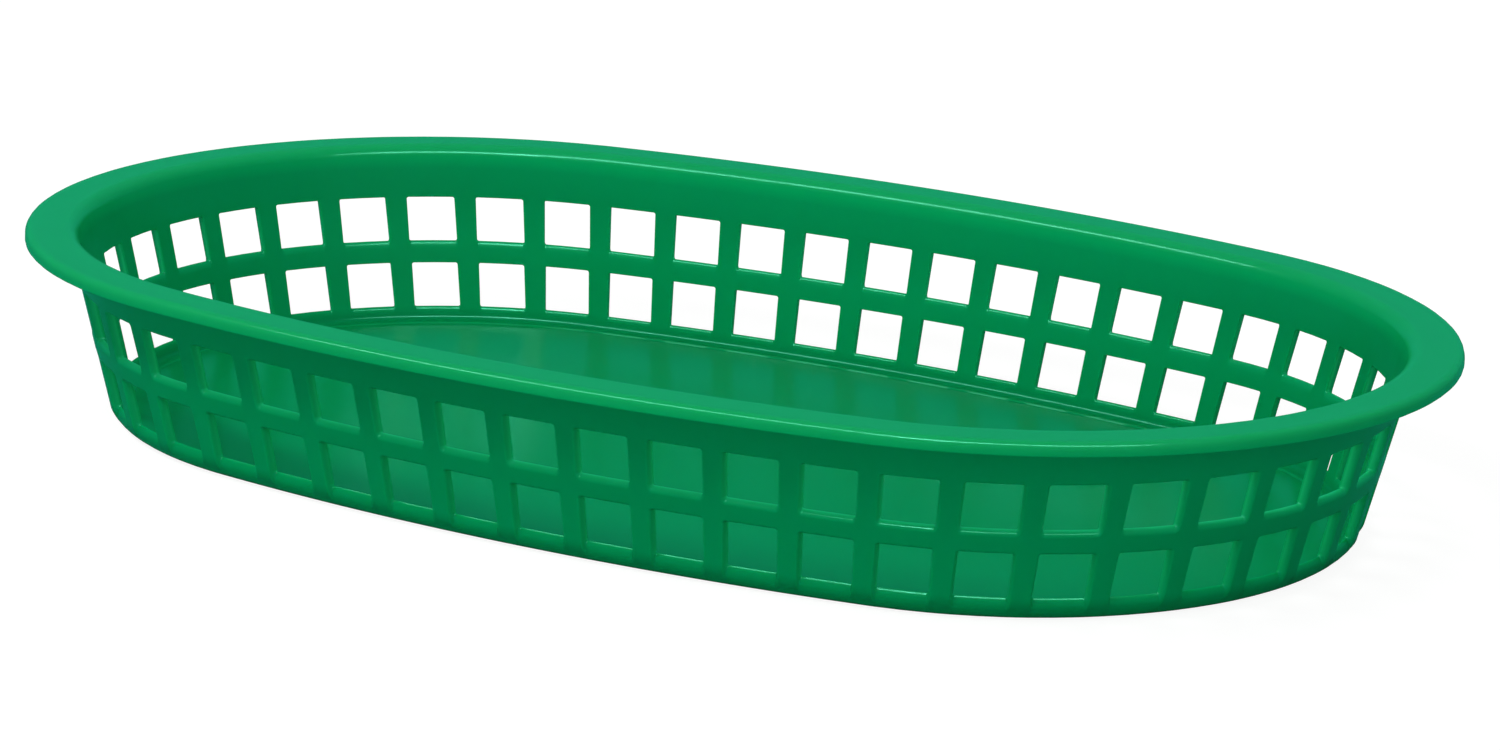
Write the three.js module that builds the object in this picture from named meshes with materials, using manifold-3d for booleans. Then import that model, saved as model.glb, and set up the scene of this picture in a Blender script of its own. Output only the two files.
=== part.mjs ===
// Oval serving basket: a single injection-moulded polypropylene shell with a wide flat rim,
// leaning walls pierced by rows of square windows, and a solid flat floor.
// Units are millimetres. +X runs along the length, +Y across the width, +Z up,
// and the origin is the middle of the underside.
import * as THREE from 'three';
import { mergeVertices } from 'three/addons/utils/BufferGeometryUtils.js';
import Module from 'manifold-3d';

// Overall size, measured over the rim.
const rimLength = 266.7;
const rimWidth = 166.8;
const height = 34.1;

// The outline is a four-centre oval. Its end arcs would make a band this much narrower,
// on each side, than the flat side arcs that join them. The sides straighten a little
// towards the foot of the wall.
const sideBulge = 5.3;
const sideBulgeAtFoot = 4.5;

// Rim: a flat flange with a rounded outer lip, and a soft lead-in down to the wall.
const flangeWidth = 9.1;
const flangeThickness = 2.4;
const lipRadius = 1.8;
const lipFootRadius = 0.3;
const leadInRadius = 1.9;
const underRimFillet = 1.8;

// Wall: one thickness all round, leaning a little more at the ends than along the sides.
const wallThickness = 1.8;
const endLeanDegrees = 14.1;
const sideLeanDegrees = 12.8;

// Floor: flat, with a narrow raised ledge round the foot of the wall.
const floorThickness = 1.2;
const ledgeWidth = 2;
const ledgeHeight = 0.3;
const floorFillet = 0.9;
const heelRadius = 3;

// Windows: rows of square openings between upright ribs and level bands. Outside, their edges
// are rounded over from edgeDepth inside the outer face. The sills fall away furthest, and the
// lowest ones slope on down to the heel, so that the ribs stand proud of them.
const windowRows = 2;
const windowsPerEnd = 14;
const windowsPerSide = 10;
const topBand = 9.7;
const middleBand = 4.1;
const sillAboveFloor = 2.45;
const ribWidth = 4;
const windowCorner = 0.4;
const edgeDepth = 1.3;
const edgeRound = 0.8;
const sillDrop = 1.3;
const lowestSillDrop = 2.3;
const cutterReach = 0.5;

// Smoothness of the moulding: facets along each window pitch, and round each edge.
const facetsPerEndWindow = 2;
const facetsPerSideWindow = 1;
const outerRoundSteps = 3;
const innerFilletSteps = 2;

const plasticGreen = 0x1c9d64;
const plasticRoughness = 0.35;

const endLean = Math.tan(THREE.MathUtils.degToRad(endLeanDegrees));
const sideLean = Math.tan(THREE.MathUtils.degToRad(sideLeanDegrees));
const ledgeTop = floorThickness + ledgeHeight;
const underRim = height - flangeThickness;

// Four-centre oval: two end arcs and two flatter side arcs that share a tangent where they meet.
// The side arcs are centred on the Y axis, beyond the middle line by sideCentre.
function oval(halfLength, halfWidth, bulge) {
  const endRadius = halfWidth - bulge;
  const endCentre = halfLength - endRadius;
  const sideCentre = (endCentre ** 2 - bulge ** 2) / (2 * bulge);
  return {
    endRadius,
    endCentre,
    sideCentre,
    sideRadius: halfWidth + sideCentre,
    meetAngle: Math.atan2(sideCentre, endCentre),
  };
}

// The inner face of the wall at height z, as an oval.
function wallOval(z) {
  const drop = height - z;
  return oval(
    rimLength / 2 - flangeWidth - drop * endLean,
    rimWidth / 2 - flangeWidth - drop * sideLean,
    sideBulge + ((sideBulgeAtFoot - sideBulge) * drop) / height,
  );
}

// Point and outward direction on an oval, pushed out by offset.
// The place is counted in window pitches from the middle of the right-hand end:
// each end arc holds windowsPerEnd equal pitches and each side arc windowsPerSide.
const pitchesRound = 2 * (windowsPerEnd + windowsPerSide);

function onOval(shape, place, offset = 0) {
  const quarter = pitchesRound / 4;
  const turn = ((place % pitchesRound) + pitchesRound) % pitchesRound;
  const sector = Math.floor(turn / quarter);
  const fromEnd = sector % 2 === 0 ? turn - sector * quarter : (sector + 1) * quarter - turn;
  const signX = sector === 0 || sector === 3 ? 1 : -1;
  const signY = sector < 2 ? 1 : -1;
  const halfEnd = windowsPerEnd / 2;
  let angle;
  let x;
  let y;
  if (fromEnd <= halfEnd) {
    angle = (shape.meetAngle * fromEnd) / halfEnd;
    x = shape.endCentre + (shape.endRadius + offset) * Math.cos(angle);
    y = (shape.endRadius + offset) * Math.sin(angle);
  } else {
    const share = (fromEnd - halfEnd) / (windowsPerSide / 2);
    angle = shape.meetAngle + (Math.PI / 2 - shape.meetAngle) * share;
    x = (shape.sideRadius + offset) * Math.cos(angle);
    y = -shape.sideCentre + (shape.sideRadius + offset) * Math.sin(angle);
  }
  return {
    x: signX * x,
    y: signY * y,
    outX: signX * Math.cos(angle),
    outY: signY * Math.sin(angle),
  };
}

// A quarter round between a level face and the leaning wall. The corner of the two faces is at
// (out, z). outward and upward (+1 or -1) point from that corner to the round's centre.
// Each point is measured from the wall's inner face at its own height, so the round leans with it.
function quarterRound(out, z, radius, outward, upward, wallFirst, steps) {
  const points = [];
  for (let i = 0; i <= steps; i += 1) {
    const share = wallFirst ? 1 - i / steps : i / steps;
    const angle = (share * Math.PI) / 2;
    const pointZ = z + upward * radius * (1 - Math.cos(angle));
    points.push({ z: pointZ, level: pointZ, out: out + outward * radius * (1 - Math.sin(angle)) });
  }
  return points;
}

// The rim's outer edge stands plumb, so its points are all measured at the level of the rim's top.
function lipProfile() {
  const points = [];
  for (let i = 0; i <= outerRoundSteps; i += 1) {
    const angle = (i / outerRoundSteps) * (Math.PI / 2);
    points.push({
      z: height - lipRadius * (1 - Math.cos(angle)),
      level: height,
      out: flangeWidth - lipRadius * (1 - Math.sin(angle)),
    });
  }
  points.push({ z: underRim + lipFootRadius, level: height, out: flangeWidth });
  points.push({ z: underRim, level: height, out: flangeWidth - lipFootRadius });
  return points;
}

// Section of the moulding from the floor's upper face, up the inside, over the rim,
// down the outside and in under the base.
function shellProfile() {
  return [
    { z: floorThickness, level: ledgeTop, out: -ledgeWidth - ledgeHeight },
    { z: ledgeTop, level: ledgeTop, out: -ledgeWidth },
    ...quarterRound(0, ledgeTop, floorFillet, -1, 1, false, innerFilletSteps),
    ...quarterRound(0, height, leadInRadius, 1, -1, true, outerRoundSteps),
    ...lipProfile(),
    ...quarterRound(wallThickness, underRim, underRimFillet, 1, -1, false, innerFilletSteps),
    ...quarterRound(wallThickness, 0, heelRadius, -1, 1, true, outerRoundSteps),
  ];
}

// Whether a window pitch lies on one of the two end arcs.
function isOnEnd(pitch) {
  const half = pitchesRound / 2;
  const fromEnd = (pitch + 0.5) % half;
  return Math.min(fromEnd, half - fromEnd) < windowsPerEnd / 2;
}

// Places round the oval where the moulding's facets meet. Every rib's middle is one of them.
function facetPlaces() {
  const places = [];
  for (let pitch = 0; pitch < pitchesRound; pitch += 1) {
    const facets = isOnEnd(pitch) ? facetsPerEndWindow : facetsPerSideWindow;
    for (let i = 0; i < facets; i += 1) {
      places.push(pitch + i / facets);
    }
  }
  return places;
}

// Sweep the section round the oval and close the floor with a fan on each face.
function shellGeometry() {
  const profile = shellProfile();
  const places = facetPlaces();
  const columns = places.length;
  const positions = [];
  for (const point of profile) {
    const shape = wallOval(point.level);
    for (const place of places) {
      const spot = onOval(shape, place, point.out);
      positions.push(spot.x, spot.y, point.z);
    }
  }
  const upperCentre = positions.length / 3;
  positions.push(0, 0, profile[0].z);
  const lowerCentre = upperCentre + 1;
  positions.push(0, 0, profile[profile.length - 1].z);

  const faces = [];
  const lastRing = (profile.length - 1) * columns;
  for (let column = 0; column < columns; column += 1) {
    const next = (column + 1) % columns;
    faces.push(upperCentre, column, next);
    faces.push(lowerCentre, lastRing + next, lastRing + column);
    for (let row = 0; row < profile.length - 1; row += 1) {
      const here = row * columns;
      const above = here + columns;
      faces.push(here + column, above + column, above + next);
      faces.push(here + column, above + next, here + next);
    }
  }
  const geometry = new THREE.BufferGeometry();
  geometry.setAttribute('position', new THREE.Float32BufferAttribute(positions, 3));
  geometry.setIndex(faces);
  return geometry;
}

// Heights of one row's sill and head. The rows share what the bands and the floor leave.
function windowRow(row) {
  const lowest = ledgeTop + sillAboveFloor;
  const rise = (height - topBand - lowest - (windowRows - 1) * middleBand) / windowRows;
  const sill = lowest + row * (rise + middleBand);
  return { sill, head: sill + rise };
}

// Outline of a window with its corners cut. Its sides and head are moved out by spread,
// and its sill down by drop.
function windowOutline(halfWidth, halfRise, spread, drop) {
  const side = halfWidth + spread;
  const head = halfRise + spread;
  const sill = -halfRise - drop;
  const corner = side - windowCorner;
  return [
    [side, sill + windowCorner],
    [side, head - windowCorner],
    [corner, head],
    [-corner, head],
    [-side, head - windowCorner],
    [-side, sill + windowCorner],
    [-corner, sill],
    [corner, sill],
  ];
}

// The plug that leaves one window: straight through the wall, then flaring
// where the outer edges are rounded over. It leans with the wall.
function windowPlug(place, row) {
  const { sill, head } = windowRow(row);
  const middle = (sill + head) / 2;
  const shape = wallOval(middle);
  const centre = onOval(shape, place);
  const before = onOval(shape, place - 0.5);
  const after = onOval(shape, place + 0.5);
  const pitch = Math.hypot(after.x - before.x, after.y - before.y);
  const halfWidth = (pitch - ribWidth) / 2;
  const halfRise = (head - sill) / 2;
  const above = onOval(wallOval(middle + 1), place);
  const lean = (above.x - centre.x) * centre.outX + (above.y - centre.y) * centre.outY;
  const flare = (edgeDepth + cutterReach) / edgeDepth;
  const fall = row === 0 ? lowestSillDrop : sillDrop;
  const levels = [
    { out: -cutterReach, spread: 0, drop: 0 },
    { out: wallThickness - edgeDepth, spread: 0, drop: 0 },
    { out: wallThickness + cutterReach, spread: edgeRound * flare, drop: fall * flare },
  ];

  const positions = [];
  const corners = windowOutline(halfWidth, halfRise, 0, 0).length;
  for (const { out, spread, drop } of levels) {
    for (const [along, up] of windowOutline(halfWidth, halfRise, spread, drop)) {
      const push = out + lean * up;
      positions.push(
        centre.x + centre.outX * push - centre.outY * along,
        centre.y + centre.outY * push + centre.outX * along,
        middle + up,
      );
    }
  }
  const faces = [];
  for (let i = 1; i < corners - 1; i += 1) {
    faces.push(0, i + 1, i);
    const top = (levels.length - 1) * corners;
    faces.push(top, top + i, top + i + 1);
  }
  for (let level = 0; level < levels.length - 1; level += 1) {
    for (let i = 0; i < corners; i += 1) {
      const next = (i + 1) % corners;
      const here = level * corners;
      const out = here + corners;
      faces.push(here + i, here + next, out + next);
      faces.push(here + i, out + next, out + i);
    }
  }
  const geometry = new THREE.BufferGeometry();
  geometry.setAttribute('position', new THREE.Float32BufferAttribute(positions, 3));
  geometry.setIndex(faces);
  return geometry;
}

const wasm = await Module();
wasm.setup();

function toSolid(geometry) {
  const merged = mergeVertices(geometry, 1e-4);
  return new wasm.Manifold(new wasm.Mesh({
    numProp: 3,
    vertProperties: new Float32Array(merged.attributes.position.array),
    triVerts: new Uint32Array(merged.index.array),
  }));
}

function toGeometry(solid) {
  const mesh = solid.getMesh();
  const geometry = new THREE.BufferGeometry();
  geometry.setAttribute('position', new THREE.Float32BufferAttribute(mesh.vertProperties, 3));
  geometry.setIndex(new THREE.Uint32BufferAttribute(mesh.triVerts, 1));
  geometry.computeVertexNormals();
  return geometry;
}

// Cut every window of every row out of the shell.
function pierce(shell) {
  let pierced = shell;
  for (let row = 0; row < windowRows; row += 1) {
    for (let place = 0; place < pitchesRound; place += 1) {
      pierced = pierced.subtract(toSolid(windowPlug(place + 0.5, row)));
    }
  }
  return pierced;
}

const plastic = new THREE.MeshStandardMaterial({
  color: plasticGreen,
  roughness: plasticRoughness,
  metalness: 0,
});

const basket = new THREE.Mesh(toGeometry(pierce(toSolid(shellGeometry()))), plastic);
basket.name = 'basket';

const group = new THREE.Group();
group.add(basket);

export default group;
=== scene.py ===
# %% [markdown]
# # An oval serving basket in green plastic
# The real basket is one injection moulding: molten plastic fills a steel mould in a single
# shot, so there are no seams, screws or separate ribs. The lesson builds that one skin as a
# clean mesh of quads, gives it a moulded plastic material, and lights it like a product shot.
# Everything is worked out in millimetres first and turned into metres at the last moment.

import math
from functools import lru_cache

import bmesh
import bpy
from mathutils import Matrix, Vector


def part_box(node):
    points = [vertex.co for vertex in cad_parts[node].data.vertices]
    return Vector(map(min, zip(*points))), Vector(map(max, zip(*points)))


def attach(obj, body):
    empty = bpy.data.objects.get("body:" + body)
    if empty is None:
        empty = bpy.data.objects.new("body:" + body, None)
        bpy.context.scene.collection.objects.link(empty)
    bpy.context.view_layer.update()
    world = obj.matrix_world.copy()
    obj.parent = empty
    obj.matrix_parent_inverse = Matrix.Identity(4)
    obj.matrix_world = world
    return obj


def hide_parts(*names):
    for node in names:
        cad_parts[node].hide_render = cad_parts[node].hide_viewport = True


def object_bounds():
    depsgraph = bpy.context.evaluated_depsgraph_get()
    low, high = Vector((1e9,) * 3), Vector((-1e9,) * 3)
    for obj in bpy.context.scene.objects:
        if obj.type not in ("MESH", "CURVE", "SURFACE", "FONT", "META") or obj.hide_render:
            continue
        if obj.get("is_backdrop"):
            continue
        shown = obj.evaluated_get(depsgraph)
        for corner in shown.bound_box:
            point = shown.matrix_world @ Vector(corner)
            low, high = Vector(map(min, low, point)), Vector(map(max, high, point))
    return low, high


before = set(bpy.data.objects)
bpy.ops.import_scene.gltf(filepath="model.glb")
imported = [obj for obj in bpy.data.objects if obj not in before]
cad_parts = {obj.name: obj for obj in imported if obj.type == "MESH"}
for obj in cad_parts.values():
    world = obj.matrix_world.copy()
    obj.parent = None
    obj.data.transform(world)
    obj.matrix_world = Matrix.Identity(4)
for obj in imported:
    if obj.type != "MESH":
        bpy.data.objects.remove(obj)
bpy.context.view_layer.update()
MM = 0.001

# %% [markdown]
# ## The sizes of the moulding
# The overall length, width and height are read from the CAD node that this skin stands for,
# so the two can't drift apart. The rest are the sizes a mould maker would write on a drawing.
# They could be guessed while modelling by eye, but a drawing keeps every rib the same.

# %% Sizes of the rim, wall and floor
low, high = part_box("basket")
RIM_LENGTH = (high.x - low.x) / MM
RIM_WIDTH = (high.y - low.y) / MM
RIM_TOP = high.z / MM

SIDE_BULGE = 5.3
SIDE_BULGE_AT_FOOT = 4.5
FLANGE_WIDTH = 9.1
FLANGE_THICKNESS = 2.4
LIP_RADIUS = 1.8
LIP_FULLNESS = 0.68
LIP_FOOT_RADIUS = 0.3
LEAD_IN_RADIUS = 1.9
UNDER_RIM_FILLET = 1.8

WALL = 1.8
END_LEAN = math.tan(math.radians(14.1))
SIDE_LEAN = math.tan(math.radians(12.8))

FLOOR = 1.2
LEDGE_WIDTH = 2.0
LEDGE_HEIGHT = 0.3
LEDGE_SLOPE = 0.65
LEDGE_SOFTNESS = 0.06
LEDGE_TOP = FLOOR + LEDGE_HEIGHT
FLOOR_FILLET = 0.9
HEEL_RADIUS = 3.0
UNDER_RIM = RIM_TOP - FLANGE_THICKNESS
print("rim", round(RIM_LENGTH, 1), "x", round(RIM_WIDTH, 1), "mm, height", round(RIM_TOP, 1))

# %% Sizes of the windows
WINDOW_ROWS = 2
WINDOWS_PER_END = 14
WINDOWS_PER_SIDE = 10
PITCHES = 2 * (WINDOWS_PER_END + WINDOWS_PER_SIDE)
HALF_END = WINDOWS_PER_END / 2
HALF_SIDE = WINDOWS_PER_SIDE / 2

TOP_BAND = 9.7
MIDDLE_BAND = 4.1
SILL_ABOVE_FLOOR = 2.45
RIB_WIDTH = 4.0
WINDOW_CORNER = 0.35
print(PITCHES * WINDOW_ROWS, "windows in", WINDOW_ROWS, "rows")

# %% [markdown]
# ## A map of the wall
# Seen from above the basket is a four-centre oval: two tight arcs at the ends joined by two
# very flat arcs along the sides, all meeting smoothly. The wall leans, so the oval shrinks
# towards the floor. A lattice or an array modifier would stretch the ribs unevenly round the
# ends. A map is simpler: any point is named by its place round the oval, counted in window
# pitches, its height, and how far out it lies from the inner face of the wall.

# %% The oval at each height
@lru_cache(maxsize=None)
def wall_oval(level):
    """Radii and centres in mm of the wall's inner face at a height, and where its arcs meet."""
    drop = RIM_TOP - level
    half_length = RIM_LENGTH / 2 - FLANGE_WIDTH - drop * END_LEAN
    half_width = RIM_WIDTH / 2 - FLANGE_WIDTH - drop * SIDE_LEAN
    bulge = SIDE_BULGE + (SIDE_BULGE_AT_FOOT - SIDE_BULGE) * drop / RIM_TOP
    end_radius = half_width - bulge
    end_centre = half_length - end_radius
    side_centre = (end_centre ** 2 - bulge ** 2) / (2 * bulge)
    meet = math.atan2(side_centre, end_centre)
    return end_radius, end_centre, side_centre, half_width + side_centre, meet


for name, level in (("rim", RIM_TOP), ("underside", 0.0)):
    print("end arc at the", name, "has a radius of", round(wall_oval(level)[0], 1), "mm")


# %% From place, height and distance out to a point
def wall_point(place, z, out, level=None):
    """A point in metres. The level is the height whose oval is used, if it isn't z itself."""
    oval = wall_oval(z if level is None else level)
    end_radius, end_centre, side_centre, side_radius, meet = oval
    quarter = PITCHES / 4
    turn = place % PITCHES
    sector = min(int(turn // quarter), 3)
    even = sector % 2 == 0
    from_end = turn - sector * quarter if even else (sector + 1) * quarter - turn
    if from_end <= HALF_END:
        angle = meet * from_end / HALF_END
        x = end_centre + (end_radius + out) * math.cos(angle)
        y = (end_radius + out) * math.sin(angle)
    else:
        angle = meet + (math.pi / 2 - meet) * (from_end - HALF_END) / HALF_SIDE
        x = (side_radius + out) * math.cos(angle)
        y = (side_radius + out) * math.sin(angle) - side_centre
    sign_x = 1 if sector in (0, 3) else -1
    sign_y = 1 if sector < 2 else -1
    return Vector((sign_x * x, sign_y * y, z)) * MM


print("inner face at the ends, mm from the middle:", round(wall_point(0, RIM_TOP, 0).x / MM, 2))


# %% Window pitches
def is_on_end(pitch):
    """Whether a window pitch lies on one of the two tight end arcs."""
    half = PITCHES / 2
    from_end = (pitch + 0.5) % half
    return min(from_end, half - from_end) < HALF_END


def pitch_length(pitch, z):
    """Length of one window pitch along the wall's inner face, in mm."""
    end_radius, _, _, side_radius, meet = wall_oval(z)
    if is_on_end(pitch):
        return end_radius * meet / HALF_END
    return side_radius * (math.pi / 2 - meet) / HALF_SIDE


for name, pitch in (("ends", 0), ("sides", PITCHES // 4)):
    print("pitch at the", name, round(pitch_length(pitch, RIM_TOP / 2), 2), "mm")


# %% Heights of each row of windows
def window_row(row):
    """Heights in mm of the sill and the head of one row of windows."""
    lowest = LEDGE_TOP + SILL_ABOVE_FLOOR
    rise = (RIM_TOP - TOP_BAND - lowest - (WINDOW_ROWS - 1) * MIDDLE_BAND) / WINDOW_ROWS
    sill = lowest + row * (rise + MIDDLE_BAND)
    return sill, sill + rise


for row in range(WINDOW_ROWS):
    print("row", row, "from and to, mm:", [round(height, 2) for height in window_row(row)])

# %% [markdown]
# ## The section of the moulding
# Cut through the basket and the section is one closed line: floor, ledge, fillet, leaning
# wall, soft lead-in, flat rim, rounded lip, and back down the outside to the heel. Sweeping
# that line round the map gives the whole skin. Each round gets several steps, because the
# highlights of gloss plastic run along its rounds and show every facet. The lip is a little
# fuller than a quarter circle: its ridge is tighter, so the highlight there stays thin.

# %% Rounds of the section
LIP_STEPS = 14
LIP_FOOT_STEPS = 3
LEAD_IN_STEPS = 9
FILLET_STEPS = 6
HEEL_STEPS = 5


def quarter_round(out, z, radius, outward, upward, wall_first, steps):
    """A round between a level face and the leaning wall whose corner is at (out, z)."""
    rows = []
    for i in range(steps + 1):
        share = 1 - i / steps if wall_first else i / steps
        angle = share * math.pi / 2
        row_z = z + upward * radius * (1 - math.cos(angle))
        rows.append((row_z, row_z, out + outward * radius * (1 - math.sin(angle))))
    return rows


print("rounds: lead-in", LEAD_IN_RADIUS, "mm, under the rim", UNDER_RIM_FILLET, "mm")


# %% The lip
def lip_round():
    """The lip from the flat of the rim, over its ridge and down to its foot."""
    rows = []
    for i in range(LIP_STEPS + 1):
        angle = (1 - math.cos(i / LIP_STEPS * math.pi)) * math.pi / 4
        z = RIM_TOP - LIP_RADIUS * (1 - math.cos(angle) ** LIP_FULLNESS)
        out = FLANGE_WIDTH - LIP_RADIUS * (1 - math.sin(angle) ** LIP_FULLNESS)
        rows.append((z, RIM_TOP, out))
    for i in range(LIP_FOOT_STEPS + 1):
        angle = i / LIP_FOOT_STEPS * math.pi / 2
        z = UNDER_RIM + LIP_FOOT_RADIUS * (1 - math.sin(angle))
        rows.append((z, RIM_TOP, FLANGE_WIDTH - LIP_FOOT_RADIUS * (1 - math.cos(angle))))
    return rows


print(len(lip_round()), "rows over the lip")


# %% The outer face of the wall
def outer_face(z):
    """Distance of the outer skin from the wall's inner face. It curls in below the heel."""
    if z >= HEEL_RADIUS:
        return WALL
    rise = (HEEL_RADIUS - z) / HEEL_RADIUS
    return WALL - HEEL_RADIUS * (1 - math.sqrt(max(0.0, 1 - rise ** 2)))


print("outer skin curls in by", round(WALL - outer_face(0), 2), "mm at the underside")

# %% [markdown]
# ## Patches round the windows
# Each window sits in a square patch of the wall. The patch is like a picture frame: its
# outside matches the neighbouring patches point for point, and rings of quads lead from
# there to the opening. A Boolean cut would be quicker to write, but it leaves long ragged
# faces that spoil the highlights, so the frame's quads are laid out one by one.

# %% Divisions of one patch
PATCH = 8
HALF_PATCH = PATCH // 2
CORNER_STEP = math.pi / 12
# Heights in mm where the patches begin, meet and end, on the two faces of the wall.
INNER_EDGES = (2.6, 14.0, 25.3)
OUTER_EDGES = (0.8, 13.7, 25.6)


def spread_marks(low_edge, first, middle, last, high_edge):
    """Nine marks across a patch: its edges, the ends of the corners, and steps between."""
    marks = [low_edge + (first - low_edge) * i / 3 for i in range(3)]
    marks += [first, middle, last]
    marks += [last + (high_edge - last) * (i + 1) / 3 for i in range(3)]
    return marks


def patch_heights(row, edges):
    """The nine heights of a patch of this row, whose edges are given."""
    sill, head = window_row(row)
    marks = (sill + WINDOW_CORNER, (sill + head) / 2, head - WINDOW_CORNER)
    return spread_marks(edges[row], *marks, edges[row + 1])


def patch_places(pitch):
    """The nine places round the oval of the patch in this pitch."""
    middle_height = (window_row(0)[0] + window_row(1)[1]) / 2
    length = pitch_length(pitch, middle_height)
    flat = ((length - RIB_WIDTH) / 2 - WINDOW_CORNER) / length
    marks = spread_marks(-0.5, -flat, 0.0, flat, 0.5)
    return [pitch + 0.5 + mark for mark in marks]


columns = [place for pitch in range(PITCHES) for place in patch_places(pitch)[:PATCH]]
print(len(columns), "columns round the basket")

# %% Rows that only keep the quads even
# Heights in mm on the wall, and distances out in mm on the level faces.
FLOOR_ROWS = (-9.0, -5.0, -3.0)
INNER_BAND_ROWS = (27.0, 29.5, 31.6)
FLANGE_ROWS = (2.6, 4.6, 6.6)
UNDER_LIP_INSET = 1.2
OUTER_BAND_ROWS = (29.2, 27.4)
UNDERSIDE_ROWS = (-1.8, -4.0, -8.0)

wall_rows = INNER_BAND_ROWS + OUTER_BAND_ROWS
print(len(wall_rows), "rows for even quads on the wall,",
      len(FLOOR_ROWS + FLANGE_ROWS + UNDERSIDE_ROWS), "on the level faces")

# %% The section from the floor up the inside
# Each row is its height, the height whose oval it follows, and its distance out.
section = []
patch_rows = {"inner": [], "outer": []}

section += [(FLOOR, LEDGE_TOP, out) for out in FLOOR_ROWS]
step_foot = -LEDGE_WIDTH - LEDGE_SLOPE * LEDGE_HEIGHT
soft = LEDGE_SOFTNESS
section.append((FLOOR, LEDGE_TOP, step_foot - soft))
section.append((FLOOR + soft / 2, LEDGE_TOP, step_foot + soft / 2))
section.append((LEDGE_TOP - soft / 2, LEDGE_TOP, -LEDGE_WIDTH - soft / 2))
section.append((LEDGE_TOP, LEDGE_TOP, -LEDGE_WIDTH + soft))
section += quarter_round(0, LEDGE_TOP, FLOOR_FILLET, -1, 1, False, FILLET_STEPS)

for row in range(WINDOW_ROWS):
    heights = patch_heights(row, INNER_EDGES)
    first_row = len(section) if row == 0 else len(section) - 1
    section += [(z, z, 0.0) for z in (heights if row == 0 else heights[1:])]
    patch_rows["inner"].append([first_row + i for i in range(PATCH + 1)])
section += [(z, z, 0.0) for z in INNER_BAND_ROWS]
print(len(section), "rows up to the rim")

# %% The section over the rim
section += quarter_round(0, RIM_TOP, LEAD_IN_RADIUS, 1, -1, True, LEAD_IN_STEPS)
section += [(RIM_TOP, RIM_TOP, out) for out in FLANGE_ROWS]
section += lip_round()
section.append((UNDER_RIM, RIM_TOP, FLANGE_WIDTH - UNDER_LIP_INSET))
section += quarter_round(WALL, UNDER_RIM, UNDER_RIM_FILLET, 1, -1, False, FILLET_STEPS)
print(len(section), "rows up to the outside of the wall")

# %% The section down the outside to the underside
section += [(z, z, WALL) for z in OUTER_BAND_ROWS]
for row in reversed(range(WINDOW_ROWS)):
    heights = patch_heights(row, OUTER_EDGES)[::-1]
    first_row = len(section) if row == WINDOW_ROWS - 1 else len(section) - 1
    heights = heights if row == WINDOW_ROWS - 1 else heights[1:]
    section += [(z, z, outer_face(z)) for z in heights]
    patch_rows["outer"].insert(0, [first_row + PATCH - i for i in range(PATCH + 1)])
heel_angle = math.acos(1 - OUTER_EDGES[0] / HEEL_RADIUS)
for i in range(1, HEEL_STEPS + 1):
    z = HEEL_RADIUS * (1 - math.cos(heel_angle * (1 - i / HEEL_STEPS)))
    section.append((z, z, outer_face(z)))
section += [(0.0, 0.0, out) for out in UNDERSIDE_ROWS]
print(len(section), "rows in the section")

# %% [markdown]
# ## The window openings
# The mould's blocks leave a soft edge all round each window. Inside, the sides and the head
# have only a tiny round and the sill is eased. Outside, the uprights are well rounded, the
# top edge is crisp, the upper sills roll over, and the lowest sills slope right down to the
# heel, so that the ribs stand proud there. Each edge is therefore a quarter of an ellipse
# whose two half-widths change from the sides to the sill and the head, and they blend round
# the corners.
#
# Thin edges of slightly clear plastic look lighter, because light leaks out of them. A shader
# doesn't gather light like that, so every point near an opening also carries a number, its
# glow, which the material uses later to lighten the green. That is painted light: it stands
# for the light leaking from the thin edges and for light the lamps don't bring to the sills
# and the sides of the openings.

# %% How each window edge is rounded
# Half-widths in mm along the wall (spread) and through it (depth). A pair is for the lower
# row of windows and the upper one. The slope share is how far an outer sill slopes straight
# instead of rolling over.
INNER_STEPS = 4
OUTER_STEPS = 6
INNER_SPREAD = {"side": 0.15, "head": 0.2, "sill": (0.9, 1.4)}
INNER_DEPTH = {"side": 0.15, "head": 0.2, "sill": (0.4, 0.45)}
OUTER_SPREAD = {"side": 0.55, "head": 0.5, "sill": (2.75, 1.2)}
OUTER_DEPTH = {"side": 1.3, "head": 0.6, "sill": (1.3, 1.3)}
SLOPE_SHARE = (0.6, 0.15)
print("lowest outer sills reach", OUTER_SPREAD["sill"][0], "mm down the wall")

# %% How much painted light each window edge gets
# How much painted light lightens the edges, from 0 to 1, and how fast that fades outwards.
SILL_PAINTED_LIGHT = (0.0, 0.7)
SIDE_PAINTED_LIGHT = (0.35, 0.55)
INNER_PAINTED_LIGHT = 0.28
PAINTED_LIGHT_FADE = 1.6
print("strongest glow:", max(SILL_PAINTED_LIGHT + SIDE_PAINTED_LIGHT))


# %% The outline of a window
def edge_values(table, row, across, upright):
    """Half-widths along and up for a point whose edge faces (across, upright)."""
    along = table["side"]
    up = table["head"] if upright > 0 else table["sill"][row]
    return along, up, along * across ** 2 + up * upright ** 2


def outline_point(u, v, half_width, half_rise):
    """A point of the window's outline and the way its edge faces, from a patch's edge mark."""
    if abs(v) == HALF_PATCH and abs(u) <= 1:
        angle = math.pi / 2
    elif abs(u) == HALF_PATCH and abs(v) <= 1:
        angle = 0.0
    elif abs(u) == HALF_PATCH:
        angle = (abs(v) - 1) * CORNER_STEP
    else:
        angle = math.pi / 2 - (abs(u) - 1) * CORNER_STEP
    across, upright = math.cos(angle), math.sin(angle)
    flat_x, flat_z = half_width - WINDOW_CORNER, half_rise - WINDOW_CORNER
    x = min(abs(u), 1) * flat_x + WINDOW_CORNER * across
    z = min(abs(v), 1) * flat_z + WINDOW_CORNER * upright
    side_x, side_z = math.copysign(1, u), math.copysign(1, v)
    return side_x * x, side_z * z, side_x * across, side_z * upright


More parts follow.
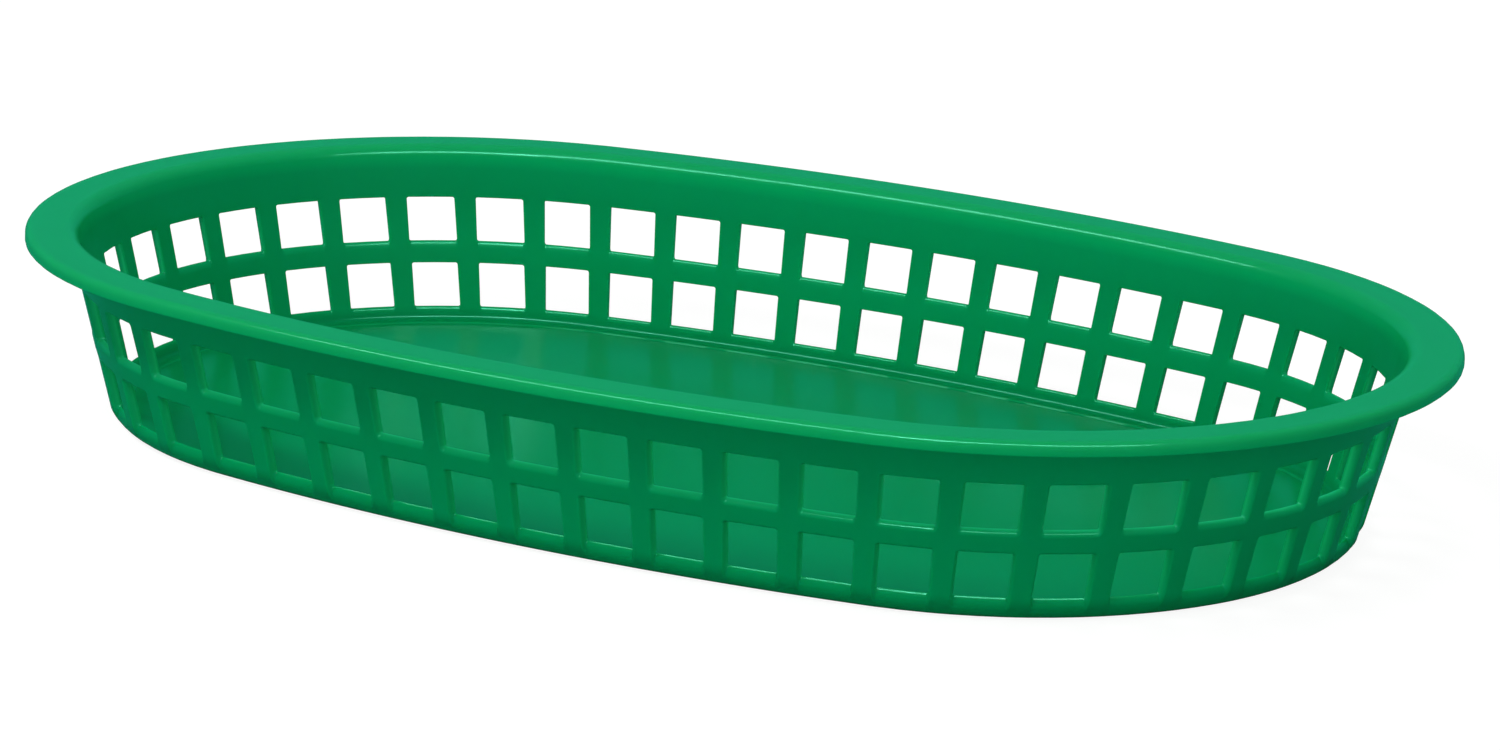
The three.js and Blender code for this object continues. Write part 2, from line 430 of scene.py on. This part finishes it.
facing = outline_point(HALF_PATCH, HALF_PATCH, 1.0, 1.0)[2:]
print("a window's corner faces along and up by", [round(part, 2) for part in facing])


# %% Marks round the edge of a patch
def patch_border():
    """The marks round a patch, as steps across and up from its middle."""
    border = [(u, -HALF_PATCH) for u in range(-HALF_PATCH, HALF_PATCH)]
    border += [(HALF_PATCH, v) for v in range(-HALF_PATCH, HALF_PATCH)]
    border += [(-u, HALF_PATCH) for u in range(-HALF_PATCH, HALF_PATCH)]
    border += [(-HALF_PATCH, -v) for v in range(-HALF_PATCH, HALF_PATCH)]
    return border


print(len(patch_border()), "marks round a patch")


# %% The rings of one window
def window_rings(pitch, row):
    """Rings of points from the inner face of the wall, through the opening, to the outside.

    Each point comes with its glow, painted light which is strongest at the narrowest part of
    the opening.
    """
    sill, head = window_row(row)
    middle, half_rise = (sill + head) / 2, (head - sill) / 2
    half_width = (pitch_length(pitch, middle) - RIB_WIDTH) / 2
    rings = [[] for _ in range(INNER_STEPS + 1 + OUTER_STEPS + 1)]
    for u, v in patch_border():
        x, z, across, upright = outline_point(u, v, half_width, half_rise)
        points = []
        # The glow is painted light along the sides and the sills of the opening.
        glow = SIDE_PAINTED_LIGHT[row] * across ** 2
        if upright < 0:
            glow += SILL_PAINTED_LIGHT[row] * upright ** 2
        wide, tall, _ = edge_values(INNER_SPREAD, row, across, upright)
        deep = edge_values(INNER_DEPTH, row, across, upright)[2]
        for i in range(INNER_STEPS + 1):
            angle = i / INNER_STEPS * math.pi / 2
            share = 1 - math.sin(angle)
            light = glow * INNER_PAINTED_LIGHT * i / INNER_STEPS
            points.append((x + across * wide * share, z + upright * tall * share,
                           deep * (1 - math.cos(angle)), False, light))
        wide, tall, _ = edge_values(OUTER_SPREAD, row, across, upright)
        deep = edge_values(OUTER_DEPTH, row, across, upright)[2]
        slope = SLOPE_SHARE[row] * upright ** 2 if upright < 0 else 0.0
        for i in range(OUTER_STEPS + 1):
            angle = i / OUTER_STEPS * math.pi / 2
            straight = i / OUTER_STEPS
            share = (1 - math.cos(angle)) * (1 - slope) + straight * slope
            sunk = (1 - math.sin(angle)) * (1 - slope) + (1 - straight) * slope
            light = glow * (1 - straight) ** PAINTED_LIGHT_FADE
            points.append((x + across * wide * share, z + upright * tall * share,
                           deep * sunk, True, light))
        for ring, (along, up, depth, outside, light) in zip(rings, points):
            height = middle + up
            out = outer_face(height) - depth if outside else depth
            place = pitch + 0.5 + along / pitch_length(pitch, height)
            ring.append((wall_point(place, height, out), light))
    return rings


print(len(window_rings(0, 0)), "rings in a window")

# %% [markdown]
# ## Building the skin
# bmesh takes the points and faces as they are worked out. Points of the section that fall
# inside a patch aren't needed, so a point is made only when a face first asks for it. The
# floor and the underside are closed by a ladder of quads across the oval, which stays flat
# and has no fan of thin triangles in the middle.

# %% Points on demand
skin = bmesh.new()
# Painted light along the window edges is kept on the mesh, one number for each point.
painted_edge_light = skin.verts.layers.float.new("painted_edge_light")
made = {}
print("the glow is kept on the mesh as", painted_edge_light.name)


def skin_point(row, column):
    """The point where a row of the section crosses a column, made when first asked for."""
    key = (row, column % len(columns))
    if key not in made:
        z, level, out = section[row]
        made[key] = skin.verts.new(wall_point(columns[key[1]], z, out, level))
    return made[key]


# %% Rows outside the patches
patched = {rows[i] if rows[0] < rows[-1] else rows[i + 1]
           for side in patch_rows.values() for rows in side for i in range(PATCH)}
for row in range(len(section) - 1):
    if row not in patched:
        for column in range(len(columns)):
            skin.faces.new((skin_point(row, column), skin_point(row, column + 1),
                            skin_point(row + 1, column + 1), skin_point(row + 1, column)))
print(len(skin.faces), "faces in the bands, rim and heel")


# %% Patches with their windows
def bridge(first, second):
    """A ring of quads between two rings of points."""
    count = len(first)
    for i in range(count):
        j = (i + 1) % count
        skin.faces.new((first[i], first[j], second[j], second[i]))


for row in range(WINDOW_ROWS):
    for pitch in range(PITCHES):
        edges = []
        for side in ("inner", "outer"):
            rows = patch_rows[side][row]
            edges.append([skin_point(rows[v + HALF_PATCH], pitch * PATCH + u + HALF_PATCH)
                          for u, v in patch_border()])
        rings = []
        for ring in window_rings(pitch, row):
            rings.append([skin.verts.new(point) for point, _ in ring])
            for vertex, (_, light) in zip(rings[-1], ring):
                vertex[painted_edge_light] = light
        rings = [edges[0], *rings, edges[1]]
        for first, second in zip(rings, rings[1:]):
            bridge(first, second)
print(len(skin.faces), "faces with the windows")

# %% Floor and underside
LADDER_STEPS = 16


def close_flat(row):
    """A ladder of quads across the oval inside one row of the section."""
    half = len(columns) // 2
    lines = []
    for column in range(half + 1):
        near, far = skin_point(row, column), skin_point(row, -column)
        line = [near]
        if near is not far:
            for i in range(1, LADDER_STEPS):
                line.append(skin.verts.new(near.co.lerp(far.co, i / LADDER_STEPS)))
        lines.append(line + [far])
    for first, second in zip(lines, lines[1:]):
        if len(first) == 2:
            first = [first[0]] * (LADDER_STEPS + 1)
        if len(second) == 2:
            second = [second[0]] * (LADDER_STEPS + 1)
        for i in range(LADDER_STEPS):
            corners = [first[i], first[i + 1], second[i + 1], second[i]]
            skin.faces.new(list(dict.fromkeys(corners)))


close_flat(0)
close_flat(len(section) - 1)
bmesh.ops.recalc_face_normals(skin, faces=skin.faces)
open_edges = sum(not edge.is_manifold for edge in skin.edges)
volume = skin.calc_volume() / MM ** 3 / 1000
print(len(skin.faces), "faces,", open_edges, "open edges")
print(round(volume, 2), "cubic cm of plastic")

# %% The basket as an object
FLAT_FACE_WEIGHT = 60

mesh = bpy.data.meshes.new("moulded_basket")
skin.to_mesh(mesh)
skin.free()
mesh.polygons.foreach_set("use_smooth", [True] * len(mesh.polygons))
basket = bpy.data.objects.new("moulded_basket", mesh)
bpy.context.scene.collection.objects.link(basket)
weighted = basket.modifiers.new("flat faces stay flat", "WEIGHTED_NORMAL")
weighted.keep_sharp = False
weighted.weight = FLAT_FACE_WEIGHT

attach(basket, "root")
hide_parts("basket")
print("basket mesh:", len(mesh.vertices), "points")

# %% [markdown]
# ## Helpers for nodes
# Materials are built from code, so three small helpers keep the wiring readable. They add a
# node with its settings, start a group with named sockets, and do a calculation.

# %% Node helpers
def add_node(tree, kind, **settings):
    """A new node of a kind, with its settings."""
    node = tree.nodes.new(kind)
    for name, value in settings.items():
        setattr(node, name, value)
    return node


def new_group(name, inputs, outputs):
    """An empty node group with named sockets: (name, kind, default) in, (name, kind) out."""
    group = bpy.data.node_groups.new(name, "ShaderNodeTree")
    for label, kind, default in inputs:
        socket = group.interface.new_socket(name=label, in_out="INPUT", socket_type=kind)
        if default is not None:
            socket.default_value = default
    for label, kind in outputs:
        group.interface.new_socket(name=label, in_out="OUTPUT", socket_type=kind)
    return group, add_node(group, "NodeGroupInput"), add_node(group, "NodeGroupOutput")


def math_node(tree, operation, first, second):
    """A calculation with two values, each a number or another node's output."""
    node = add_node(tree, "ShaderNodeMath", operation=operation)
    for socket, value in zip(node.inputs, (first, second)):
        if isinstance(value, (int, float)):
            socket.default_value = value
        else:
            tree.links.new(value, socket)
    return node.outputs[0]


# %% [markdown]
# ## Colour inside the plastic
# Pigment never mixes perfectly. In real mouldings the green drifts by a percent or two in
# cloudy patches, and long faint flow lines run from the middle of the floor out to the rim,
# where the melt travelled. One group makes both from the piece's own coordinates, so they
# stay put from every view. Image textures could do it, but noise needs no files.

# %% Noise and drift
def noise(tree, place, scale, detail):
    """Noise from 0 to 1 with about this many blotches to the metre."""
    node = add_node(tree, "ShaderNodeTexNoise")
    node.inputs["Scale"].default_value = scale
    node.inputs["Detail"].default_value = detail
    tree.links.new(place, node.inputs["Vector"])
    return node.outputs["Fac"]


def drift_of(tree, value, amount):
    """A noise turned into a drift about nought, as large as the amount."""
    return math_node(tree, "MULTIPLY", math_node(tree, "SUBTRACT", value, 0.5), amount)


# %% Pigment group
CLOUD_SCALE, CLOUD_DETAIL = 24.0, 3.0
FLOW_STRETCH, FLOW_DETAIL = (60.0, 9.0, 9.0), 2.0

pigment, group_in, group_out = new_group(
    "pigment drift",
    [("Place", "NodeSocketVector", None), ("Green", "NodeSocketColor", (0.0, 0.3, 0.1, 1.0)),
     ("Cloud amount", "NodeSocketFloat", 0.05), ("Flow amount", "NodeSocketFloat", 0.03)],
    [("Color", "NodeSocketColor")],
)
links = pigment.links
cloud = noise(pigment, group_in.outputs["Place"], CLOUD_SCALE, CLOUD_DETAIL)
stretch = add_node(pigment, "ShaderNodeMapping")
stretch.inputs["Scale"].default_value = FLOW_STRETCH
links.new(group_in.outputs["Place"], stretch.inputs["Vector"])
flow = noise(pigment, stretch.outputs["Vector"], 1.0, FLOW_DETAIL)
cloud_part = drift_of(pigment, cloud, group_in.outputs["Cloud amount"])
flow_part = drift_of(pigment, flow, group_in.outputs["Flow amount"])
value = math_node(pigment, "ADD", math_node(pigment, "ADD", cloud_part, flow_part), 1.0)
shade = add_node(pigment, "ShaderNodeHueSaturation")
links.new(value, shade.inputs["Value"])
links.new(group_in.outputs["Green"], shade.inputs["Color"])
links.new(shade.outputs["Color"], group_out.inputs["Color"])
print("pigment group:", len(pigment.nodes), "nodes")

# %% [markdown]
# ## The surface of the plastic
# The mould is polished, but not like glass. The skin has an orange-peel dimple about a
# millimetre across, a slower waviness where the walls sank a little as they cooled, and the
# gloss itself drifts. The group puts out a height for a Bump node and a gloss drift that is
# added to the roughness. Real displacement would need millions of faces for the same look.

# %% Surface group
PEEL_SCALE, PEEL_DETAIL = 900.0, 2.0
WAVE_SCALE, WAVE_DETAIL = 70.0, 1.0
GLOSS_SCALE, GLOSS_DETAIL = 40.0, 4.0

surface, group_in, group_out = new_group(
    "moulded skin",
    [("Place", "NodeSocketVector", None), ("Peel", "NodeSocketFloat", 0.3),
     ("Waviness", "NodeSocketFloat", 1.0)],
    [("Height", "NodeSocketFloat"), ("Gloss drift", "NodeSocketFloat")],
)
links = surface.links
peel = noise(surface, group_in.outputs["Place"], PEEL_SCALE, PEEL_DETAIL)
wave = noise(surface, group_in.outputs["Place"], WAVE_SCALE, WAVE_DETAIL)
peel_part = math_node(surface, "MULTIPLY", peel, group_in.outputs["Peel"])
wave_part = math_node(surface, "MULTIPLY", wave, group_in.outputs["Waviness"])
links.new(math_node(surface, "ADD", peel_part, wave_part), group_out.inputs["Height"])
drift = noise(surface, group_in.outputs["Place"], GLOSS_SCALE, GLOSS_DETAIL)
links.new(math_node(surface, "SUBTRACT", drift, 0.5), group_out.inputs["Gloss drift"])
print("surface group:", len(surface.nodes), "nodes")

# %% [markdown]
# ## The green plastic
# Everything meets in one Principled BSDF. The plastic is slightly clear, so part of the light
# scatters under the skin before it comes out, which softens the shading. A ramp by height
# picks the green, with painted shade and painted light in it: painted shade makes the floor a
# little darker and the foot of the wall darkest, painted light makes the thick rim paler, and
# the trace of red on the rim's top is a painted sheen. The flat floor came off a duller part of
# the mould than the walls, and a mask by height makes it a little rougher.

# %% Material values
# The floor's and the foot's greens are darker by painted shade, the rim's are paler by painted
# light, and the trace of red on the rim's top is a painted sheen.
FLOOR_PAINTED_SHADE_GREEN = (0.0, 0.315, 0.089, 1.0)
FOOT_PAINTED_SHADE_GREEN = (0.0, 0.29, 0.088, 1.0)
WALL_GREEN = (0.0, 0.355, 0.114, 1.0)
RIM_PAINTED_LIGHT_GREEN = (0.0, 0.435, 0.134, 1.0)
RIM_TOP_PAINTED_SHEEN_GREEN = (0.01, 0.43, 0.134, 1.0)
# A paler green for the painted light along the window edges.
PAINTED_EDGE_LIGHT_GREEN = (0.02, 0.75, 0.31, 1.0)
WALL_ROUGHNESS = 0.2
FLOOR_ROUGHNESS = 0.24
PLASTIC_IOR = 1.49
GREEN_SHEEN = (0.19, 1.0, 0.7, 1.0)
SHEEN_LEVEL = 0.8
SCATTER = 0.6
SCATTER_DEPTH = (0.3, 1.0, 0.55)
SCATTER_LENGTH = 2.5
CLOUD_AMOUNT = 0.06
FLOW_AMOUNT = 0.04
PEEL = 0.04
WAVINESS = 0.4
BUMP_STRENGTH = 0.35
BUMP_HEIGHT = 0.0002
GLOSS_DRIFT = 0.08
print("the wall's green:", WALL_GREEN[:3])

# %% The material and its plain settings
plastic = bpy.data.materials.new("green_plastic")
plastic.use_nodes = True
tree = plastic.node_tree
shader = tree.nodes["Principled BSDF"]
shader.inputs["IOR"].default_value = PLASTIC_IOR
shader.inputs["Specular Tint"].default_value = GREEN_SHEEN
shader.inputs["Specular IOR Level"].default_value = SHEEN_LEVEL
shader.inputs["Subsurface Weight"].default_value = SCATTER
shader.inputs["Subsurface Radius"].default_value = SCATTER_DEPTH
shader.inputs["Subsurface Scale"].default_value = SCATTER_LENGTH * MM
print("scatter reaches", SCATTER_LENGTH, "mm into the plastic")

# %% The pigment into the shader
place = add_node(tree, "ShaderNodeTexCoord")
drifted = add_node(tree, "ShaderNodeGroup", node_tree=pigment)
drifted.inputs["Cloud amount"].default_value = CLOUD_AMOUNT
drifted.inputs["Flow amount"].default_value = FLOW_AMOUNT
tree.links.new(place.outputs["Object"], drifted.inputs["Place"])
tree.links.new(drifted.outputs["Color"], shader.inputs["Base Color"])
print("range of the clouds and of the flow lines:", CLOUD_AMOUNT, FLOW_AMOUNT)

# %% The green by height with its painted shade and light, and the painted light of the edges
# The painted shade of the foot ends at the top of the fillet, and the wall's own green is full
# two fillets higher.
axes = add_node(tree, "ShaderNodeSeparateXYZ")
tree.links.new(place.outputs["Object"], axes.inputs["Vector"])
green_with_painted_light_and_shade = add_node(tree, "ShaderNodeValToRGB")
stops = green_with_painted_light_and_shade.color_ramp.elements
stops[0].position, stops[0].color = LEDGE_TOP / RIM_TOP, FLOOR_PAINTED_SHADE_GREEN
stops[1].position, stops[1].color = 1.0, RIM_TOP_PAINTED_SHEEN_GREEN
for height, green in (
    (LEDGE_TOP + LEDGE_HEIGHT, FOOT_PAINTED_SHADE_GREEN),
    (LEDGE_TOP + FLOOR_FILLET, FOOT_PAINTED_SHADE_GREEN),
    (LEDGE_TOP + 3 * FLOOR_FILLET, WALL_GREEN),
    (UNDER_RIM - UNDER_RIM_FILLET, WALL_GREEN),
    (UNDER_RIM, RIM_PAINTED_LIGHT_GREEN),
):
    stops.new(height / RIM_TOP).color = green
share_of_height = math_node(tree, "DIVIDE", axes.outputs["Z"], RIM_TOP * MM)
tree.links.new(share_of_height, green_with_painted_light_and_shade.inputs["Fac"])
# Painted light along the window edges lightens the green towards a paler one.
glow = add_node(tree, "ShaderNodeAttribute", attribute_name="painted_edge_light")
with_painted_edge_light = add_node(tree, "ShaderNodeMix", data_type="RGBA")
with_painted_edge_light.inputs["B"].default_value = PAINTED_EDGE_LIGHT_GREEN
tree.links.new(glow.outputs["Fac"], with_painted_edge_light.inputs["Factor"])
tree.links.new(green_with_painted_light_and_shade.outputs["Color"], with_painted_edge_light.inputs["A"])
tree.links.new(with_painted_edge_light.outputs["Result"], drifted.inputs["Green"])
print("the ramp has", len(stops), "greens")

# %% The skin's bump
moulded = add_node(tree, "ShaderNodeGroup", node_tree=surface)
moulded.inputs["Peel"].default_value = PEEL
moulded.inputs["Waviness"].default_value = WAVINESS
tree.links.new(place.outputs["Object"], moulded.inputs["Place"])
bump = add_node(tree, "ShaderNodeBump")
bump.inputs["Strength"].default_value = BUMP_STRENGTH
bump.inputs["Distance"].default_value = BUMP_HEIGHT
tree.links.new(moulded.outputs["Height"], bump.inputs["Height"])
tree.links.new(bump.outputs["Normal"], shader.inputs["Normal"])
print("bump:", BUMP_STRENGTH, "of", BUMP_HEIGHT / MM, "mm")

# %% Gloss of the floor and the walls
gloss_by_height = add_node(tree, "ShaderNodeMapRange")
gloss_by_height.inputs["From Min"].default_value = FLOOR * MM
gloss_by_height.inputs["From Max"].default_value = LEDGE_TOP * MM
gloss_by_height.inputs["To Min"].default_value = FLOOR_ROUGHNESS
gloss_by_height.inputs["To Max"].default_value = WALL_ROUGHNESS
tree.links.new(axes.outputs["Z"], gloss_by_height.inputs["Value"])
drift_part = math_node(tree, "MULTIPLY", moulded.outputs["Gloss drift"], GLOSS_DRIFT)
roughness = math_node(tree, "ADD", gloss_by_height.outputs["Result"], drift_part)
tree.links.new(roughness, shader.inputs["Roughness"])
mesh.materials.append(plastic)
print("green plastic:", len(tree.nodes), "nodes")

# %% [markdown]
# ## Floor and background
# The basket was photographed on plain white, with dark surroundings that keep the green deep.
# The floor looks white to the camera and still darkens where the basket shades it. What
# reaches the plastic as bounced light comes from a grey floor, so the underside of the ribs
# doesn't glow.
#
# This green is purer than a screen can show, and in the photograph hardly any red is left in
# it, even in the reflections. Gloss therefore sees the floor and the room tinted green, with
# only a trace of the white. A neutral room would turn every grazing view of the plastic grey.

# %% What each kind of ray sees
WHITE_IN_GLOSS = 0.01


def white_share(tree):
    """1 for rays from the camera or through glass, and a small share for reflections."""
    rays = add_node(tree, "ShaderNodeLightPath").outputs
    gloss = math_node(tree, "MULTIPLY", rays["Is Glossy Ray"], WHITE_IN_GLOSS)
    seen = math_node(tree, "ADD", rays["Is Camera Ray"], rays["Is Transmission Ray"])
    return math_node(tree, "ADD", seen, gloss), rays["Is Glossy Ray"]


print("share of the white in reflections:", WHITE_IN_GLOSS)


# %% Tints and the white
def gloss_tint(tree, is_gloss, plain, in_gloss):
    """One colour for plain light and another for reflections."""
    colour = add_node(tree, "ShaderNodeMix", data_type="RGBA")
    colour.inputs["A"].default_value = plain
    colour.inputs["B"].default_value = in_gloss
    tree.links.new(is_gloss, colour.inputs["Factor"])
    return colour.outputs["Result"]


def show_white(tree, share, plain, white, output_kind):
    """Sends the white to the output by its share, and the plain shader otherwise."""
    chosen = add_node(tree, "ShaderNodeMixShader")
    tree.links.new(share, chosen.inputs[0])
    tree.links.new(plain.outputs[0], chosen.inputs[1])
    tree.links.new(white.outputs[0], chosen.inputs[2])
    output = add_node(tree, output_kind)
    tree.links.new(chosen.outputs[0], output.inputs["Surface"])


# %% The floor
# Metres. The floor lies a hair below the underside, so that the two faces don't coincide.
FLOOR_HALF = 4.0
FLOOR_GAP = 0.0001

floor_mesh = bpy.data.meshes.new("studio_floor")
corners = [(x * FLOOR_HALF, y * FLOOR_HALF, -FLOOR_GAP)
           for x, y in ((-1, -1), (1, -1), (1, 1), (-1, 1))]
floor_mesh.from_pydata(corners, [], [(0, 1, 2, 3)])
studio_floor = bpy.data.objects.new("studio_floor", floor_mesh)
bpy.context.scene.collection.objects.link(studio_floor)
studio_floor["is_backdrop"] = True
print("floor", 2 * FLOOR_HALF, "m square")

# %% The floor's material
FLOOR_BOUNCE = (0.28, 0.28, 0.28, 1.0)
FLOOR_IN_GLOSS = (0.0, 0.42, 0.275, 1.0)
FLOOR_OWN_WHITE = 0.91
FLOOR_SHADED_WHITE = 0.2

floor_material = bpy.data.materials.new("studio_floor")
floor_material.use_nodes = True
tree = floor_material.node_tree
tree.nodes.clear()
share, is_gloss = white_share(tree)
bounce_colour = gloss_tint(tree, is_gloss, FLOOR_BOUNCE, FLOOR_IN_GLOSS)
bounce = add_node(tree, "ShaderNodeBsdfDiffuse")
tree.links.new(bounce_colour, bounce.inputs["Color"])
glow = add_node(tree, "ShaderNodeEmission")
glow.inputs["Strength"].default_value = FLOOR_OWN_WHITE
shaded = add_node(tree, "ShaderNodeBsdfDiffuse")
shaded.inputs["Color"].default_value = (FLOOR_SHADED_WHITE,) * 3 + (1.0,)
both = add_node(tree, "ShaderNodeAddShader")
tree.links.new(glow.outputs[0], both.inputs[0])
tree.links.new(shaded.outputs[0], both.inputs[1])
show_white(tree, share, bounce, both, "ShaderNodeOutputMaterial")
floor_mesh.materials.append(floor_material)
print("the floor shows", FLOOR_OWN_WHITE, "white of its own and the rest from light")

# %% The room
ROOM_LIGHT = (0.235, 0.235, 0.235, 1.0)
ROOM_IN_GLOSS = (0.007, 0.4, 0.258, 1.0)

world = bpy.data.worlds.new("studio")
bpy.context.scene.world = world
world.use_nodes = True
tree = world.node_tree
tree.nodes.clear()
share, is_gloss = white_share(tree)
room_colour = gloss_tint(tree, is_gloss, ROOM_LIGHT, ROOM_IN_GLOSS)
room = add_node(tree, "ShaderNodeBackground")
tree.links.new(room_colour, room.inputs["Color"])
white = add_node(tree, "ShaderNodeBackground")
white.inputs["Color"].default_value = (1.0, 1.0, 1.0, 1.0)
show_white(tree, share, room, white, "ShaderNodeOutputWorld")
print("room light", ROOM_LIGHT[0])

# %% [markdown]
# ## Lamps
# Two slim softboxes stand in front of the basket, one to the left and one to the right, about
# fifty degrees up. They draw the thin bright line on the lip and the softer one on the far
# lead-in, where the plastic faces half way between the camera and the lamp. The right one
# only draws its highlight: its plain light would wash out the shading of the inner wall. A
# wide panel above and behind lights the rim, the floor and the sills. A panel on the right
# and a low strip in front lift the outside of the wall. These three are hidden from
# reflections, since the photograph shows no highlight of theirs.

# %% Lamp helpers
def softbox(name, location, target, width, depth, watts):
    """An area lamp of a size in metres, turned to face its target."""
    lamp = bpy.data.lights.new(name, "AREA")
    lamp.shape = "RECTANGLE"
    lamp.size, lamp.size_y = width, depth
    lamp.energy = watts
    holder = bpy.data.objects.new(name, lamp)
    holder.location = location
    aim = Vector(target) - Vector(location)
    holder.rotation_mode = "QUATERNION"
    holder.rotation_quaternion = aim.to_track_quat("-Z", "Y")
    bpy.context.scene.collection.objects.link(holder)
    return holder


def from_side(azimuth, elevation, distance):
    """A place round the basket: azimuth is counted from the front, to the right."""
    turn, rise = math.radians(azimuth), math.radians(elevation)
    flat = distance * math.cos(rise)
    return flat * math.sin(turn), -flat * math.cos(turn), distance * math.sin(rise)


# %% The five lamps
# Each has a name, a place, a target, a width and depth in metres, and a power in watts.
AIM = (0, 0, 0.02)
softbox("key_strip", from_side(-23, 51, 1.3), AIM, 1.35, 0.15, 7.3)
side_strip = softbox("side_strip", from_side(38, 51, 1.3), AIM, 1.15, 0.15, 7.8)
right_fill = softbox("right_fill", from_side(60, 18, 1.5), AIM, 1.4, 0.9, 3.9)
overhead = softbox("overhead", (0, 0.85, 0.98), (0, 0, 0), 0.9, 0.9, 3.6)
low_front = softbox("low_front", from_side(-3, 3, 1.5), AIM, 1.6, 0.12, 4.4)
for lamp in (right_fill, overhead, low_front):
    lamp.visible_glossy = False
side_strip.visible_diffuse = False
print("lamps:", [lamp.name for lamp in bpy.data.lights])

# %% [markdown]
# ## Camera
# The camera stands at the viewpoint of the photograph: a long lens, a little to the right of
# the basket's front and about fifteen degrees above the table, tilted slightly sideways.

# %% Camera
# The sensor and the lens are in mm, the distances in metres.
SENSOR = 36.0
LENS = 130.26
AZIMUTH, ELEVATION, ROLL = (math.radians(a) for a in (30.123, 14.662, 1.98))
DISTANCE = 0.9507
ASIDE, RAISED = 0.004323, -0.01791

back = Vector((math.sin(AZIMUTH) * math.cos(ELEVATION),
               -math.cos(AZIMUTH) * math.cos(ELEVATION), math.sin(ELEVATION)))
# Two directions across the view, first level and then rolled.
level_right = (-back).cross(Vector((0, 0, 1))).normalized()
level_up = level_right.cross(-back)
right = math.cos(ROLL) * level_right + math.sin(ROLL) * level_up
up = -math.sin(ROLL) * level_right + math.cos(ROLL) * level_up
rim_middle = Vector((0, 0, RIM_TOP * MM))
place_of_camera = rim_middle + back * DISTANCE + right * ASIDE + up * RAISED

camera_data = bpy.data.cameras.new("camera")
camera_data.sensor_width = SENSOR
camera_data.lens = LENS
camera = bpy.data.objects.new("camera", camera_data)
turn = Matrix((right, up, back)).transposed().to_4x4()
camera.matrix_world = Matrix.Translation(place_of_camera) @ turn
bpy.context.scene.collection.objects.link(camera)
bpy.context.scene.camera = camera
print("camera at", [round(v, 4) for v in place_of_camera])

# %% Colours shown as they are
bpy.context.scene.view_settings.view_transform = "Standard"
print("view transform:", bpy.context.scene.view_settings.view_transform)

# %% Sizes for the record, and the end
shown_low, shown_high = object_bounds()
shown = [round((high - low) / MM, 2) for low, high in zip(shown_low, shown_high)]
print("visual box, mm:", shown)
